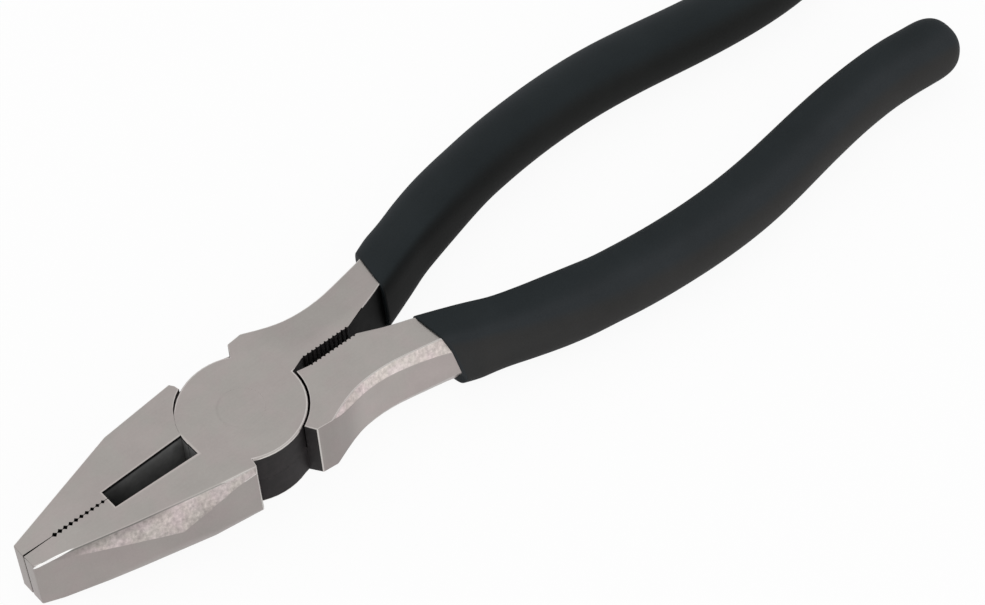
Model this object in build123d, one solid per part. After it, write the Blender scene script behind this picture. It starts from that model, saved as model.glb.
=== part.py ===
from build123d import *
import math
import os

# Combination (lineman's) pliers, closed. Millimetres, +Z up. The origin is on the pivot axis, on the lower
# face of the joint; the nose points along -X and the handles along +X. The upper half carries the jaw on the
# -Y side, the upper joint disc and the handle on the +Y side. The lower half is a forging of the same plan,
# turned over about the long axis. The bevels, the window and the nose are then ground on each half.

# Joint
THICKNESS = 12.2  # whole thickness of the joint, jaws and necks
DISC_R = 11.5  # radius of each half's joint disc
DISC_EDGE = 0.25  # chamfer around each disc's outer face
LAP_GAP = 0.1  # between the two discs, at half the thickness
RECESS_GAP = 0.3  # between a disc and the other half's hollow shoulder
SHANK_R = 3.3  # pivot rivet, between its heads
HEAD_R = 4.15  # rivet head, where it is ground flush
HEAD_DEPTH = 1.6  # height of the head's cone
RUNNING_GAP = 0.04  # radial, between the rivet and the half that turns on it
ROOT_OVERLAP = 0.15  # how far the jaw's and the handle's roots reach into their disc

# Jaws
NOSE_X = -45.6
NOSE_HALF_WIDTH = 2.88
NOSE_ROUND = 0.2  # cut-off of the nose's outer corners
CHEEK = (-21.1, 10.8)  # corner between the jaw's long and short outer flats
JAW_SHOULDER = (-6.2, 12.4)  # outer corner beside the joint
JAW_SHOULDER_CHAMFER = (-5.6, 11.5)
JAW_ROOT_ANGLE = 118.0  # where the shoulder meets the disc, degrees from +X
JAW_ROOT_X = -1.0  # where the gripping face ends, inside the joint
SEAM_GAP = 0.1  # between the two gripping faces when shut
SEAM_TAPER = 0.12  # extra gap per side at the very nose
NOSE_RISE = 1.3  # how far the jaws' lower face slopes up at the nose
NOSE_RISE_START = -34.0

# Bevels along a jaw's outer edge: points of the line where each leaves the flat face,
# with its fall per millimetre of width there
FULL_BEVEL = [(-51.0, 1.6, 2.9), (-28.2, 7.2, 2.9), (-12.4, 10.55, 2.15), (-2.0, 12.3, 0.8)]
FAINT_BEVEL = [(-51.0, 1.2, 2.4), (-28.2, 7.25, 2.4), (-15.2, 10.45, 2.4), (-2.0, 12.3, 2.4)]
BEVEL_DEPTH = 6.0  # more than either bevel's fall, so that it runs out on the jaw's side

# Teeth: V grooves across the gripping faces, seen from above as a row of square holes
TOOTH_COUNT = 10
TOOTH_FIRST_X = -39.15
TOOTH_PITCH = 1.1
TOOTH_DEPTH_NOSE = 0.54
TOOTH_DEPTH_WINDOW = 0.42

# Relief window with the side cutters
WINDOW_NOSE_X = -28.1
WINDOW_JOINT_X = -11.4
WINDOW_NOSE_HALF = 1.87
WINDOW_JOINT_HALF = 2.47
WINDOW_OFFSET = 0.3  # how far the window sits towards the upper half's jaw
CUTTER_TOP_Z = 6.2  # below this height the window's walls close in to the cutting edges
CUTTER_EDGE_Z = 0.5  # height of the vertical land behind each cutting edge

# Neck of the handle, from the joint to the grip
HANDLE_ROOT_ANGLE = 62.5
HANDLE_SHOULDER = (6.65, 12.55)
HANDLE_CORNER = (9.6, 12.85)
NECK_OUTER = [(12.4, 12.25), (16.0, 11.28), (21.0, 10.69), (26.0, 11.14), (31.0, 12.29)]
NECK_SWELL = {36.0: 0.68, 42.0: 0.45}  # how much wider than the tang the steel still is at each x
UPPER_NIP_GAP = 1.38  # from the tool's axis to the upper half's serrated edge, behind the joint
LOWER_NIP_GAP = 0.82  # and on the lower half's
NIP_START_X = 14.2
NIP_END_X = 24.6
NIP_APEX = (11.7, 0.3)
NIP_ROOT_X = 2.0  # where the neck's inner edge ends, inside the joint
NECK_INNER = (29.0, 2.95)
NOTCH_COUNT = 11
NOTCH_PITCH = 0.93
NOTCH_WIDTH = 0.78
NOTCH_DEPTH = 0.32
NECK_BEVEL_WIDTHS = [0.0, 0.68, 1.0, 1.08, 1.2, 1.36, 1.6, 1.42]  # at the corner, then along the outer edge
NECK_BEVEL_STEEPNESS = 1.75  # fall per millimetre of width
NECK_BEVEL_DEPTH = 4.0  # more than its fall, so that it runs out on the neck's side

# Grips
GRIP_FRONT_TOP = (34.75, 8.5)  # middle of the sleeve's front edge, at the tool's upper face
GRIP_FRONT_LEAN = 1.2  # how much further back it is at the lower face
GRIP_FRONT_TURN = 6.5  # how far it is turned towards square with the handle, degrees
GRIP_LINE = [
    # x, distance of the centre line from the tool's axis, half width, half height
    (30.0, 6.75, 4.45, 6.95),
    (36.0, 9.35, 4.75, 6.9),
    (50.0, 14.58, 5.45, 6.5),
    (65.0, 18.48, 5.95, 6.15),
    (82.0, 20.56, 6.05, 5.9),
    (100.0, 20.3, 6.15, 5.7),
    (118.0, 17.61, 5.95, 5.7),
    (134.0, 15.9, 5.75, 5.72),
    (146.9, 16.43, 5.65, 5.65),
]
FRONT_SQUARENESS = 4.4  # superellipse power of the section where the grip starts
GRIP_SQUARENESS = 2.35  # and further back
SQUARENESS_END_X = 65.0
TIP_LENGTH = 7.3  # from the last station to the rounded end
TIP_BLUNTNESS = 2.9
TIP_SHARES = (0.5, 0.8, 0.94, 0.995)  # of the tip's length, where its sections stand
GRIP_MID = 5.9  # height of the sleeves' centre line
SECTION_POINTS = 16
STATION_STEP = 5.9

# Tang: the handle's steel inside the grip
TANG_HALF_WIDTH = 3.5
TANG_END_X = 147.9
TANG_STATIONS = [36.0, 42.0, 50.0, 65.0, 82.0, 100.0, 118.0, 134.0, TANG_END_X]
TANG_HALF_HEIGHT = 3.7
TANG_SETBACK = 1.2  # from the back of the sleeve's front edge to where the tang thins
TANG_STEP = (3.0, 1.1)  # length and depth of the first slope, just inside the grip
TANG_TAPER_END_X = 70.0

MID = THICKNESS / 2
FAR = 60.0  # beyond every side of the tool, for what is cut away


def on_circle(radius, angle):
    turn = math.radians(angle)
    return (radius * math.cos(turn), radius * math.sin(turn))


def mirrored(points):
    return [(x, -y) for x, y in points]


def prism(points, low, high):
    """Upright prism over a closed outline of straight lines."""
    outline = make_face(Polyline(*points, close=True))
    return Pos(0, 0, low) * extrude(outline, amount=high - low)


def through(points):
    """Prism that runs past both faces of the tool."""
    return prism(points, -FAR, FAR)


def side_prism(points):
    """Prism across the whole tool over an outline in X and Z."""
    return extrude(Plane.XZ * make_face(Polyline(*points, close=True)), amount=FAR, both=True)


def turned_over(shape):
    """Half a turn about the long axis through the middle of the thickness."""
    return Pos(0, 0, THICKNESS) * Rot(X=180) * shape


def side_swapped(shape):
    return mirror(shape, about=Plane.XZ)


def height_swapped(shape):
    return Pos(0, 0, THICKNESS) * mirror(shape, about=Plane.XY)


# ---------------------------------------------------------------- grip centre line
def curve_of(column):
    return Spline(*[(row[0], row[column]) for row in GRIP_LINE])


centre_line, width_curve, height_curve = (curve_of(column) for column in (1, 2, 3))


def where(curve, x):
    """Share of the curve's length at which it passes x."""
    low, high = 0.0, 1.0
    for _ in range(40):
        middle = (low + high) / 2
        if (curve @ middle).X < x:
            low = middle
        else:
            high = middle
    return low


def station(x):
    """Point and direction of the centre line where it passes x."""
    share = where(centre_line, x)
    return centre_line @ share, centre_line % share


def beside(x, offset):
    """Point at a signed distance from the centre line, square to it (positive is outward)."""
    point, direction = station(x)
    return (point.X - direction.Y * offset, point.Y + direction.X * offset)


# ---------------------------------------------------------------- plan outlines of the steel
def jaw_plan():
    """Jaw on the +Y side, reaching into the joint."""
    inner = SEAM_GAP / 2
    return [
        (NOSE_X, inner + SEAM_TAPER),
        (NOSE_X, NOSE_HALF_WIDTH - NOSE_ROUND),
        (NOSE_X + NOSE_ROUND, NOSE_HALF_WIDTH),
        CHEEK,
        JAW_SHOULDER,
        JAW_SHOULDER_CHAMFER,
        on_circle(DISC_R - ROOT_OVERLAP, JAW_ROOT_ANGLE),
        (JAW_ROOT_X, inner),
        (TOOTH_FIRST_X, inner),
    ]


def outer_edge():
    """Points along the widest line of the neck, from its corner, and on along the tang."""
    tang = [beside(x, TANG_HALF_WIDTH + NECK_SWELL.get(x, 0.0)) for x in TANG_STATIONS]
    return [HANDLE_CORNER, *NECK_OUTER, *tang]


def neck_and_tang_plan(nip_gap):
    """Handle steel on the +Y side."""
    outer = outer_edge()
    inner = [beside(x, -TANG_HALF_WIDTH) for x in reversed(TANG_STATIONS)] + [NECK_INNER]
    root = on_circle(DISC_R - ROOT_OVERLAP, HANDLE_ROOT_ANGLE)
    nip = [NECK_INNER, (NIP_END_X, nip_gap), (NIP_START_X, nip_gap), NIP_APEX]
    lines = [
        Spline(*outer),
        Line(outer[-1], inner[0]),
        Spline(*inner),
        Polyline(*nip, (NIP_ROOT_X, NIP_APEX[1]), root, HANDLE_SHOULDER, HANDLE_CORNER),
    ]
    return make_face(lines)


def serrations(nip_gap):
    """Small V notches along the nip, cut into the handle on the +Y side."""
    first = (NIP_START_X + NIP_END_X - (NOTCH_COUNT - 1) * NOTCH_PITCH) / 2
    mouth = nip_gap - NOTCH_DEPTH / 2
    notches = []
    for i in range(NOTCH_COUNT):
        x = first + i * NOTCH_PITCH
        corners = [(x - NOTCH_WIDTH / 2, mouth), (x + NOTCH_WIDTH / 2, mouth)]
        notches.append(through([*corners, (x, nip_gap + NOTCH_DEPTH)]))
    return notches


def tooth_grooves():
    """V grooves in the gripping face of a jaw on the +Y side; both jaws together show square holes."""
    grooves = []
    for i in range(TOOTH_COUNT):
        x = TOOTH_FIRST_X + i * TOOTH_PITCH
        depth = TOOTH_DEPTH_NOSE + (TOOTH_DEPTH_WINDOW - TOOTH_DEPTH_NOSE) * i / (TOOTH_COUNT - 1)
        grooves.append(through([(x - depth, 0), (x + depth, 0), (x, depth)]))
    return grooves


# ---------------------------------------------------------------- what is ground off the steel
def jaw_bevel(line):
    """What a bevel takes off the upper outer edge of a jaw on the +Y side."""

    def cut_face(fall):
        edge = [(x, y + fall / steepness) for x, y, steepness in line]
        outline = Polyline(*edge, (line[-1][0], FAR), (line[0][0], FAR), close=True)
        return Pos(0, 0, THICKNESS - fall) * make_face(outline)

    return loft([cut_face(BEVEL_DEPTH), cut_face(0)], ruled=True)


def neck_bevel():
    """What the bevel takes off the upper outer edge of a handle's neck on the +Y side."""

    def cut_face(shift, height):
        line = [(x, y - width + shift) for (x, y), width in zip(outer_edge(), NECK_BEVEL_WIDTHS)]
        sides = Polyline(line[-1], (line[-1][0], FAR), (line[0][0], FAR), line[0])
        return Pos(0, 0, height) * make_face([Spline(*line), sides])

    run_out = NECK_BEVEL_DEPTH / NECK_BEVEL_STEEPNESS
    return loft([cut_face(run_out, THICKNESS - NECK_BEVEL_DEPTH), cut_face(0, THICKNESS)], ruled=True)


def tang_relief():
    """What thins the tang inside the grip, above and below."""
    thin_z = MID + TANG_HALF_HEIGHT
    start = GRIP_FRONT_TOP[0] + GRIP_FRONT_LEAN + TANG_SETBACK
    slope = [(start, THICKNESS), (start + TANG_STEP[0], THICKNESS - TANG_STEP[1]), (TANG_TAPER_END_X, thin_z)]
    end = TANG_END_X + FAR
    upper = side_prism([*slope, (end, thin_z), (end, FAR), (start, FAR)])
    return [upper, height_swapped(upper)]


def nose_slope():
    """What slopes the lower face of the jaws up to the nose."""
    reach = NOSE_X - FAR
    rise = NOSE_RISE * (NOSE_RISE_START - reach) / (NOSE_RISE_START - NOSE_X)
    return side_prism([(NOSE_RISE_START, 0), (reach, rise), (reach, -FAR), (NOSE_RISE_START, -FAR)])


def window_side(extra):
    """Half of the relief window, on the +Y side, with a wall that closes in below to the cutting edge."""
    edge = SEAM_GAP / 2
    wide = [
        (WINDOW_NOSE_X, 0),
        (WINDOW_NOSE_X, WINDOW_NOSE_HALF + extra),
        (WINDOW_JOINT_X, WINDOW_JOINT_HALF + extra),
        (WINDOW_JOINT_X, 0),
    ]
    narrow = [(WINDOW_NOSE_X, 0), (WINDOW_NOSE_X, edge), (WINDOW_JOINT_X, edge), (WINDOW_JOINT_X, 0)]
    top_face = Pos(0, 0, CUTTER_TOP_Z) * make_face(Polyline(*wide, close=True))
    edge_face = Pos(0, 0, CUTTER_EDGE_Z) * make_face(Polyline(*narrow, close=True))
    slope = loft([edge_face, top_face], ruled=True)
    return [prism(wide, CUTTER_TOP_Z, FAR), slope, prism(narrow, -FAR, CUTTER_EDGE_Z)]


# ---------------------------------------------------------------- rivet and halves
def rivet_body(gap):
    """Rivet with a cone-shaped head at each face; a gap makes the hole that it turns in."""
    profile = Polyline(
        (0, 0),
        (HEAD_R + gap, 0),
        (SHANK_R + gap, HEAD_DEPTH),
        (SHANK_R + gap, THICKNESS - HEAD_DEPTH),
        (HEAD_R + gap, THICKNESS),
        (0, THICKNESS),
        close=True,
    )
    return revolve(Plane.XZ * make_face(profile), axis=Axis.Z)


def forged_half(bevels, bore_gap, nip_gap):
    """Half with its jaw on the -Y side, its disc on top and its handle on the +Y side."""
    jaw = prism(mirrored(jaw_plan()), 0, THICKNESS)
    handle = extrude(neck_and_tang_plan(nip_gap), amount=THICKNESS)
    disc = Cylinder(DISC_R, THICKNESS, align=(Align.CENTER, Align.CENTER, Align.MIN))
    disc = chamfer(disc.faces().sort_by(Axis.Z)[-1].edges(), DISC_EDGE)
    pocket = Cylinder(DISC_R + RECESS_GAP, THICKNESS, align=(Align.CENTER, Align.CENTER, Align.MAX))
    half = jaw + handle + disc - Pos(0, 0, MID + LAP_GAP / 2) * pocket
    cuts = [side_swapped(groove) for groove in tooth_grooves()]
    cuts += bevels + serrations(nip_gap) + tang_relief()
    cuts += [neck_bevel(), height_swapped(neck_bevel()), rivet_body(bore_gap)]
    for cut in cuts:
        half -= cut
    return half


# ---------------------------------------------------------------- dipped grip
def grip_section(x, point, direction, width, height):
    """Rounded section, squarer where the sleeve starts."""
    front_x = GRIP_FRONT_TOP[0]
    share = min(1.0, max(0.0, (x - front_x) / (SQUARENESS_END_X - front_x)))
    power = FRONT_SQUARENESS + (GRIP_SQUARENESS - FRONT_SQUARENESS) * share
    points = []
    for i in range(SECTION_POINTS):
        turn = 2 * math.pi * i / SECTION_POINTS
        across = math.copysign(abs(math.cos(turn)) ** (2 / power), math.cos(turn))
        up = math.copysign(abs(math.sin(turn)) ** (2 / power), math.sin(turn))
        points.append((width * across, height * up))
    sideways = (-direction.Y, direction.X, 0)
    plane = Plane(origin=(point.X, point.Y, GRIP_MID), x_dir=sideways, z_dir=(direction.X, direction.Y, 0))
    return plane * make_face(Spline(*points, periodic=True))


def grip_blank():
    """Sleeve and rounded end on the +Y side, longer than needed at the front."""
    start_x, end_x = GRIP_LINE[0][0], GRIP_LINE[-1][0]
    count = round((end_x - start_x) / STATION_STEP)
    sections = []
    for i in range(count + 1):
        x = start_x + (end_x - start_x) * i / count
        point, direction = station(x)
        width = (width_curve @ where(width_curve, x)).Y
        height = (height_curve @ where(height_curve, x)).Y
        sections.append(grip_section(x, point, direction, width, height))
    for share in TIP_SHARES:
        shrink = (1 - share**TIP_BLUNTNESS) ** (1 / TIP_BLUNTNESS)
        tip_point = point + direction * TIP_LENGTH * share
        sections.append(grip_section(end_x, tip_point, direction, width * shrink, height * shrink))
    return loft(sections)


def grip_front():
    """What is cleared in front of the grip on the +Y side: the front side of a leaning, turned plane."""
    lean = GRIP_FRONT_LEAN / THICKNESS
    edge = [(lean * (THICKNESS - z), z) for z in (-FAR, FAR)]
    front = side_prism([*edge, (-FAR, FAR), (-FAR, -FAR)])
    return Pos(*GRIP_FRONT_TOP, 0) * Rot(Z=-GRIP_FRONT_TURN) * front


# ---------------------------------------------------------------- the five pieces
full_bevel = side_swapped(jaw_bevel(FULL_BEVEL))
faint_bevel = side_swapped(height_swapped(jaw_bevel(FAINT_BEVEL)))
upper_half = forged_half([full_bevel, faint_bevel], RUNNING_GAP, UPPER_NIP_GAP) - nose_slope()
lower_half = turned_over(forged_half([full_bevel], 0.0, LOWER_NIP_GAP)) - nose_slope()
for cut in window_side(WINDOW_OFFSET):
    upper_half -= side_swapped(cut)
for cut in window_side(-WINDOW_OFFSET):
    lower_half -= cut

grip = grip_blank() - grip_front()
upper_grip = grip - upper_half
lower_grip = side_swapped(grip) - lower_half

os.makedirs("parts", exist_ok=True)
for node, shape in {
    "upper_half": upper_half,
    "lower_half": lower_half,
    "pivot_rivet": rivet_body(0.0),
    "upper_grip": upper_grip,
    "lower_grip": lower_grip,
}.items():
    shape.label = node
    export_step(shape, f"parts/{node}.step")
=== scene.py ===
import math

import bmesh
import bpy
from bpy.props import FloatProperty, FloatVectorProperty, IntProperty, PointerProperty
from mathutils import Matrix, Vector
from mathutils.bvhtree import BVHTree


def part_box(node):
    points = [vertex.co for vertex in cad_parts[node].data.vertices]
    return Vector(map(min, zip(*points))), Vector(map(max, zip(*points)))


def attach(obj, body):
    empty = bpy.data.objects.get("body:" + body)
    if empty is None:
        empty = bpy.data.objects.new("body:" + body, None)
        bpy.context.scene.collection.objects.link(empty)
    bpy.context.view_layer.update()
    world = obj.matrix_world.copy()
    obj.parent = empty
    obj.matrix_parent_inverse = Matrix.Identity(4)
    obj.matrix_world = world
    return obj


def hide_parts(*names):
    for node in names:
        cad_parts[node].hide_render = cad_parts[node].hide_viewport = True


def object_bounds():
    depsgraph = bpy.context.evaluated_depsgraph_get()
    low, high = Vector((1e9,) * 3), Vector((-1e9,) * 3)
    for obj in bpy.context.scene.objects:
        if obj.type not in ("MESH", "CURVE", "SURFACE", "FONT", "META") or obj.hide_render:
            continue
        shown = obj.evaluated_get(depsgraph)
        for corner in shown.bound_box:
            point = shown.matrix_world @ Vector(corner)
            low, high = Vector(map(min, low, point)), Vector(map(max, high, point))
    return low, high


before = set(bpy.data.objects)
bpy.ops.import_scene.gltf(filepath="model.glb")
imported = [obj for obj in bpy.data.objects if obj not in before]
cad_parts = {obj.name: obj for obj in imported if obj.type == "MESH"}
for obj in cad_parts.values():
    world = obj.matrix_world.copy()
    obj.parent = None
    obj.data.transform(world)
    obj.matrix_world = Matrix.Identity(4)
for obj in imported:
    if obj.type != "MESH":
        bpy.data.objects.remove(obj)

bl_info = {
    "name": "Combination Pliers",
    "version": (1, 0, 0),
    "blender": (4, 5, 0),
    "location": "View3D > Sidebar > Pliers",
    "description": "Steel halves, rivet, dipped grips and a pale studio",
    "category": "Add Mesh",
}

MM = 0.001
CAD_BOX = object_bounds()
HALVES = {"upper": "upper_half", "lower": "lower_half"}
GRIPS = {"upper": "upper_grip", "lower": "lower_grip"}
RIVET = "pivot_rivet"

# The tool lies along x with its nose towards -x, and the origin is on the pivot's axis.
JOINT_LOW, JOINT_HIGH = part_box(RIVET)  # its ends are flush with the joint's two faces
JOINT_MID = (JOINT_LOW.z + JOINT_HIGH.z) / 2
HALF_THICK = (JOINT_HIGH.z - JOINT_LOW.z) / 2
RIVET_R = (JOINT_HIGH.x - JOINT_LOW.x) / 2
NOSE_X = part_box("upper_half")[0].x


# ---------------- settings
def length(name, description, millimetres, low=0.0):
    """A length, given in millimetres and kept in metres."""
    return FloatProperty(
        name=name, description=description, default=millimetres * MM, min=low * MM, unit="LENGTH"
    )


def colour(name, description, value):
    return FloatVectorProperty(
        name=name, description=description, default=value, size=3, subtype="COLOR"
    )


def share(name, description, value):
    return FloatProperty(
        name=name, description=description, default=value, min=0.0, max=1.0, subtype="FACTOR"
    )


def angle(name, description, degrees):
    """An angle, given in degrees and kept in radians."""
    return FloatProperty(
        name=name, description=description, default=math.radians(degrees), unit="ROTATION"
    )


def power(name, description, watts):
    return FloatProperty(name=name, description=description, default=watts, unit="POWER")


class SteelSettings(bpy.types.PropertyGroup):
    """Finish of the forged halves and of the rivet"""

    ground: colour("Ground flats", "Colour of the flat ground faces", (0.361, 0.335, 0.320))
    bevel: colour("Ground bevels", "Colour of the coarser ground bevels", (0.525, 0.477, 0.461))
    wall: colour("Outer walls", "Colour of the walls around the outline", (0.345, 0.312, 0.300))
    oxide: colour("Black oxide", "Colour left in the recesses", (0.021, 0.0182, 0.0188))
    nip: colour("Nip skin", "Colour of the blackest steel, in the nip", (0.0075, 0.0075, 0.0075))
    window: colour("Window skin", "Colour of the steel in the window", (0.155, 0.155, 0.153))
    # the broken edges are real roundings, their colour lightened as a painted highlight
    edge: colour("Broken edges", "Colour of the bright broken edges", (0.56, 0.53, 0.51))
    # a painted shade line along the rounded edge above the jaws' bevels
    shade_line: colour("Painted shade line", "Colour of the line above the jaws' bevels", (0.21, 0.20, 0.19))
    edge_round: length("Edge rounding", "Rounding of the broken edges", 0.15)
    roughness: share("Roughness", "Roughness of the ground faces", 0.36)


class GripSettings(bpy.types.PropertyGroup):
    """Shape and finish of the dipped grips"""

    # these four dip colours are painted light and shade by which way the dip faces: darkest towards
    # the other handle, lighter upward, on the shoulder and outward
    inner: colour("Inner flank", "Colour towards the other handle", (0.0085, 0.0088, 0.0086))
    top: colour("Upper side", "Colour where the dip faces up or down", (0.0185, 0.023, 0.0252))
    shoulder: colour("Shoulder", "Colour between top and outer flank", (0.0285, 0.0325, 0.0355))
    outer: colour("Outer flank", "Colour away from the other handle", (0.0335, 0.0328, 0.032))
    lip_round: length("Lip rounding", "Rounding of the sleeve's front edge", 0.4)
    pebble: length("Pebble size", "Size of the fine pebbling", 0.55, 0.05)
    roughness: share("Roughness", "Roughness of the dip", 0.62)
    around: IntProperty(name="Around", description="Points around a section", default=72, min=12)
    along: IntProperty(name="Along", description="Sections along a sleeve", default=120, min=24)


class StageSettings(bpy.types.PropertyGroup):
    """Floor, light and camera"""

    paper: colour("Paper", "Colour of the floor", (0.92, 0.92, 0.92))
    glow: share("White level", "Share of plain white that the camera sees in the floor", 0.93)
    world: share("World", "Strength of the plain surroundings", 0.82)
    top_light: power("Top softbox", "Power of the softbox overhead", 0.42)
    front_light: power("Front softbox", "Power of the low softbox in front", 0.7)
    azimuth: angle("Azimuth", "Turn of the view round the tool", -36.92)
    elevation: angle("Elevation", "Height of the view above the tool", 50.52)
    roll: angle("Roll", "Tilt of the view", -4.61)
    distance: length("Distance", "From the origin to the camera, along the view", 559.09)
    aside: length("Aside", "How far the view's centre is right of the origin", 42.17)
    above: length("Above", "How far the view's centre is above the origin", 25.58)
    lens: FloatProperty(name="Lens", description="Focal length in mm", default=118.0, min=1.0)


# ---------------- node trees
class Wire:
    """A node's output that takes part in arithmetic; each operation adds its Math node."""

    def __init__(self, tree, socket):
        self.tree = tree
        self.socket = socket

    def maths(self, operation, *others, clamp=False):
        settings = {"operation": operation, "use_clamp": clamp}
        return self.tree.node("ShaderNodeMath", settings, dict(enumerate((self, *others))))

    def __add__(self, other):
        return self.maths("ADD", other)

    def __sub__(self, other):
        return self.maths("SUBTRACT", other)

    def __mul__(self, other):
        return self.maths("MULTIPLY", other)

    def __truediv__(self, other):
        return self.maths("DIVIDE", other)

    def __rsub__(self, other):
        return self.reflected("SUBTRACT", other)

    def __rtruediv__(self, other):
        return self.reflected("DIVIDE", other)

    __radd__ = __add__
    __rmul__ = __mul__

    def reflected(self, operation, number):
        return self.tree.node("ShaderNodeMath", {"operation": operation}, {0: number, 1: self})

    def size(self):
        """The value without its sign."""
        return self.maths("ABSOLUTE")

    def largest(self, other):
        return self.maths("MAXIMUM", other)

    def power(self, exponent):
        return self.maths("POWER", exponent)

    def signed_power(self, exponent):
        """The power of the size, with the sign kept."""
        return self.size().power(exponent) * self.maths("SIGN")

    def clamped(self):
        return self.maths("ADD", 0.0, clamp=True)

    def ramp(self, low, high):
        """0 below low, 1 above high, with a soft slope between them."""
        settings = {"interpolation_type": "SMOOTHSTEP"}
        sockets = {"Value": self, "From Min": low, "From Max": high}
        return self.tree.node("ShaderNodeMapRange", settings, sockets, "Result")


class Tree:
    """Adds nodes to one node tree and links them."""

    def __init__(self, node_tree):
        self.nodes = node_tree.nodes
        self.links = node_tree.links

    def node(self, kind, settings=None, sockets=None, output=0):
        """Adds a node: first its settings, then its sockets' values or links. Returns an output."""
        made = self.nodes.new(kind)
        for name, value in (settings or {}).items():
            setattr(made, name, value)
        for name, value in (sockets or {}).items():
            if isinstance(value, Wire):
                self.links.new(value.socket, made.inputs[name])
            else:
                made.inputs[name].default_value = value
        return Wire(self, made.outputs[output]) if len(made.outputs) else made

    def other(self, wire, output):
        """Another output of the node that a wire leaves."""
        return Wire(self, wire.socket.node.outputs[output])

    def place(self):
        """The place on the object, which its patterns follow."""
        return self.node("ShaderNodeTexCoord", output="Object")

    def axes(self, vector):
        """The x, y and z of a vector."""
        x = self.node("ShaderNodeSeparateXYZ", None, {0: vector})
        return x, self.other(x, "Y"), self.other(x, "Z")

    def mix(self, factor, first, second, blend="MIX"):
        """Mix of two colours."""
        settings = {"data_type": "RGBA", "blend_type": blend}
        return self.node("ShaderNodeMix", settings, {0: factor, 6: first, 7: second}, 2)

    def vector(self, operation, first, second=None, scale=None, output=0):
        sockets = {0: first, 1: second, "Scale": scale}
        sockets = {name: value for name, value in sockets.items() if value is not None}
        return self.node("ShaderNodeVectorMath", {"operation": operation}, sockets, output)

    def stretched(self, place, scale):
        """A place with each axis multiplied by its own number."""
        return self.vector("MULTIPLY", place, scale)

    def noise(self, place, scale, detail=2.0, roughness=0.5):
        """Noise of a scale in cells per metre."""
        sockets = {"Vector": place, "Scale": scale, "Detail": detail, "Roughness": roughness}
        return self.node("ShaderNodeTexNoise", None, sockets, "Fac")


def rgba(value):
    return (*value, 1.0)


def new_material(name):
    """An empty material and its tree."""
    material = bpy.data.materials.new(name)
    material.use_nodes = True
    material.node_tree.nodes.clear()
    return material, Tree(material.node_tree)


def finish_material(tree, shader):
    tree.node("ShaderNodeOutputMaterial", None, {"Surface": shader})


def skin_material(tree, painted, roughness, bump, constants):
    """Ends a material with a plain skin; its bump is a height, a strength and a depth."""
    sockets = dict(zip(("Height", "Strength", "Distance"), bump))
    normal = tree.node("ShaderNodeBump", None, sockets)
    sockets = {"Base Color": painted, "Roughness": roughness, "Normal": normal, **constants}
    finish_material(tree, tree.node("ShaderNodeBsdfPrincipled", None, sockets))


# ---------------- places on the steel
def mm(*values):
    """Lengths given in millimetres."""
    return tuple(value * MM for value in values)


# Lengths along the tool are from the pivot, lengths across it are from its axis, and depths are
# from the middle of the joint's thickness.
FLAT_DEPTH = 5 * MM  # only the two flat faces and the edges round them are deeper
DISC_R = 11.5 * MM
DISC_MARGIN = 0.6 * MM  # the walls round the disc are nearer than this to its rim
DISC_EDGE = 0.25 * MM  # width of the disc's packed edge bevel
HOLLOW_R = 11.8 * MM  # of the recess that the other half's disc lies in
HOLLOW_MARGIN = 0.05 * MM
RIVET_MARGIN = 1 * MM
NOSE_DEPTH = 1 * MM  # the end faces of the nose are nearer than this to its tip
NOSE_EDGE = 0.6 * MM  # and their rounded edges nearer than this
CREASE = [mm(*place) for place in ((-51.0, 1.6), (-28.2, 7.2), (-12.4, 10.55), (-2.0, 12.3))]
TEETH_HALF = 0.7 * MM
BITE_HALF = 0.55 * MM
WINDOW_X = mm(-28.2, -11.2)
WINDOW_HALF = 3.0 * MM
WINDOW_NOSE = mm(-28.1, 1.87)  # one end of the window at the flats, and its half width
WINDOW_JOINT = mm(-11.4, 2.47)
WINDOW_ASIDE = 0.3 * MM  # how far the window's middle is off the axis
WINDOW_EDGE = 0.3 * MM  # its rounded edges reach this far in front of it
NIP_X = mm(11.5, 25.5)
NIP_HALF = 2.1 * MM
NIP_EDGES_X = mm(12, 26)
NIP_EDGES_HALF = 2.2 * MM
INNER_WALLS = (mm(14, 9), mm(math.inf, 14))  # how far out they reach, up to a place
SHOULDER_X = mm(0, 7)
SHOULDER_EDGE_X = mm(5.5, 7.2)  # where the shoulders' upright edges get the painted highlight
SHOULDER_EDGE_OUT = 12.1 * MM  # and further out than this
NECK_SIDE = 10 * MM  # the necks' outer walls are further out than this
SHADE_LINE_X = mm(-44, -16)  # where a painted shade line runs above the jaws' wide bevels


# ---------------- steel finishes
METAL = {"Metallic": 1.0}
FINE_BUMP = 0.02 * MM
COARSE_BUMP = 0.05 * MM
# the patterns' scales, in cells per metre
HAIRS, HAIR_RUN, CLOUDS = 2600.0, 150.0, 150.0
STAINS, RING_BREAKS, OXIDE_CLOUDS = 210.0, 260.0, 520.0
SPECKLE, BEVEL_PATCHES = 1400.0, 300.0
STROKES = (1700.0, 520.0, 800.0)  # across the bevels' strokes, along them and upwards
STROKE_TURN = math.radians(35)
PATCHY = (0.38, 0.62)  # noise levels between which a patch shows
GREENISH, PINKISH = (0.991, 1.003, 0.995, 1.0), (1.012, 0.992, 0.998, 1.0)
CREAMY, MAUVE = (1.0, 0.995, 0.975, 1.0), (1.02, 0.985, 1.005, 1.0)
BLACKEST = (0.006, 0.006, 0.006, 1.0)

RING_FADE = mm(0.05, 0.45)  # how far off the rivet's rim its line fades
RING_SIDE = (-0.79, 0.61, 0.0)  # towards the side where the line shows
RING_SHOWS = mm(1, 4)  # how far towards that side it begins to show

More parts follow.
